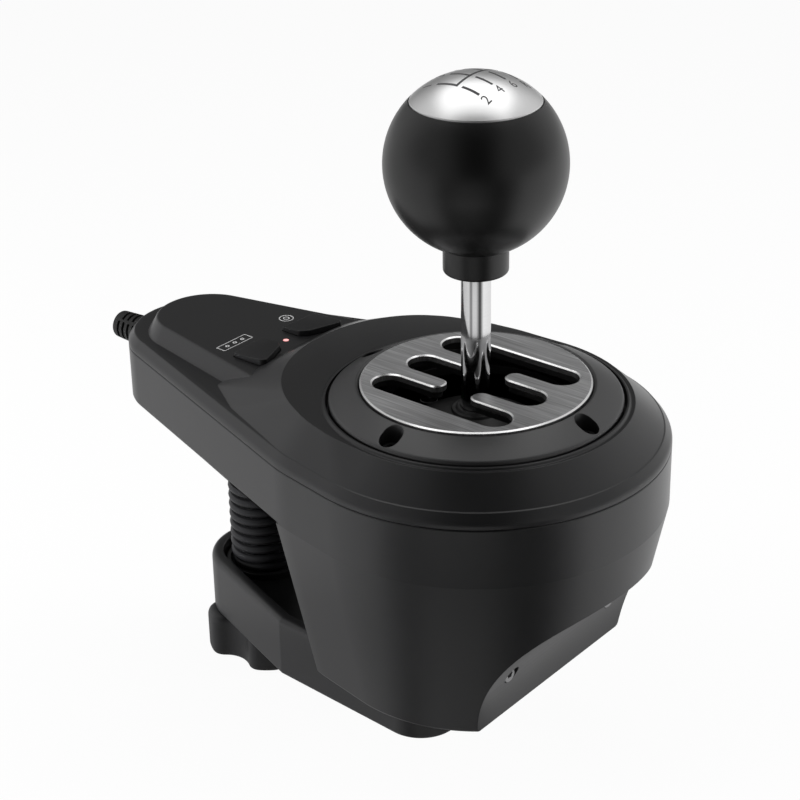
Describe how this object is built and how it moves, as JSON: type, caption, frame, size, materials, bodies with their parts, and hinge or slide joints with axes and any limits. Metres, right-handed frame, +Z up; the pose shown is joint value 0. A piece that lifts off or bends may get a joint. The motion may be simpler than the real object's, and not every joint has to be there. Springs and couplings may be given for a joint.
{
  "type": "gear shifter",
  "caption": "Desk-clamped H-pattern gear shifter: ball knob on a sprung lever in a slotted metal gate, round body with a tail, push buttons and a screw clamp.",
  "frame": {"origin": "on the lever's upright axis, in the plane of the base pad's underside, which stands on the desk's top", "axes": "+Z up along the lever in neutral, +Y to the tail, away from the driver, +X to the driver's right"},
  "size_m": [0.1194, 0.2152, 0.2243],
  "materials": {
    "shell": "fine-grained dark plastic",
    "dark_plastic": "black plastic",
    "black_steel": "blackened steel",
    "gate_steel": "brushed along the slots",
    "screw_steel": "plain steel",
    "chrome_rod": "polished",
    "cap_metal": "satin",
    "ball": "smooth black",
    "brass": "turned",
    "rubber": "matt",
    "nylon": "natural",
    "board": "solder mask",
    "lamp": "diffused"
  },
  "bodies": {
    "housing": {"lower_housing": "shell", "upper_cover": "shell", "gate_bezel": "shell", "gate_plate": "gate_steel", "gate_guide": "dark_plastic", "bezel_screws": "black_steel", "base_plate": "shell", "base_pad": "rubber", "base_screws": "screw_steel", "front_screws": "screw_steel", "cover_screws": "screw_steel", "gimbal_stand": "dark_plastic", "stand_screws": "screw_steel", "select_sensor": "dark_plastic", "centring_springs": "screw_steel", "button_board": "board", "button_switches": "dark_plastic", "status_light": "lamp", "main_board": "board", "board_screws": "screw_steel", "strain_relief": "rubber", "thread_insert": "brass", "clamp_spring": "black_steel"},
    "gimbal": {"gimbal_ring": "nylon", "gimbal_pins": "screw_steel", "shift_sensor": "dark_plastic"},
    "lever": {"lever_block": "nylon", "lever_pins": "screw_steel", "dust_dome": "dark_plastic", "reverse_switch": "dark_plastic", "press_spring": "screw_steel"},
    "stick": {"shift_rod": "chrome_rod", "cross_pin": "screw_steel", "knob_insert": "brass", "knob_ball": "ball", "knob_cap": "cap_metal"},
    "left_button": {"button_left": "dark_plastic"},
    "right_button": {"button_right": "dark_plastic"},
    "jaw": {"clamp_jaw": "shell", "jaw_pad": "rubber", "thrust_washer": "screw_steel"},
    "screw": {"clamp_screw": "screw_steel", "clamp_knob": "shell"}
  },
  "joints": [
    {"name": "select", "type": "hinge", "parent": "housing", "child": "gimbal", "pos_m": [0, 0, 0.0474], "axis": [0, 1, 0], "range_deg": [-20, 20], "stiffness_Nm_per_rad": 1, "deforming": ["centring_springs"]},
    {"name": "shift", "type": "hinge", "parent": "gimbal", "child": "lever", "pos_m": [0, 0, 0.0474], "axis": [1, 0, 0], "range_deg": [-20, 20]},
    {"name": "press", "type": "slide", "parent": "lever", "child": "stick", "axis": [0, 0, -1], "range_m": [0, 0.006], "stiffness_N_per_m": 1500, "springref_m": -0.004, "deforming": ["press_spring"]},
    {"name": "left_press", "type": "slide", "parent": "housing", "child": "left_button", "axis": [0, 0, -1], "range_m": [0, 0.001], "stiffness_N_per_m": 800, "springref_m": -0.001},
    {"name": "right_press", "type": "slide", "parent": "housing", "child": "right_button", "axis": [0, 0, -1], "range_m": [0, 0.001], "stiffness_N_per_m": 800, "springref_m": -0.001},
    {"name": "jaw_slide", "type": "slide", "parent": "housing", "child": "jaw", "axis": [0, 0, -1], "range_m": [0, 0.024], "deforming": ["clamp_spring"]},
    {"name": "screw_spin", "type": "hinge", "parent": "jaw", "child": "screw", "pos_m": [0, 0.091, -0.02], "axis": [0, 0, -1], "range_deg": [0, 4320]}
  ],
  "couplings": [
    {"joint": "screw_spin", "follows": "jaw_slide", "rad_per_m": 3141.6}
  ]
}
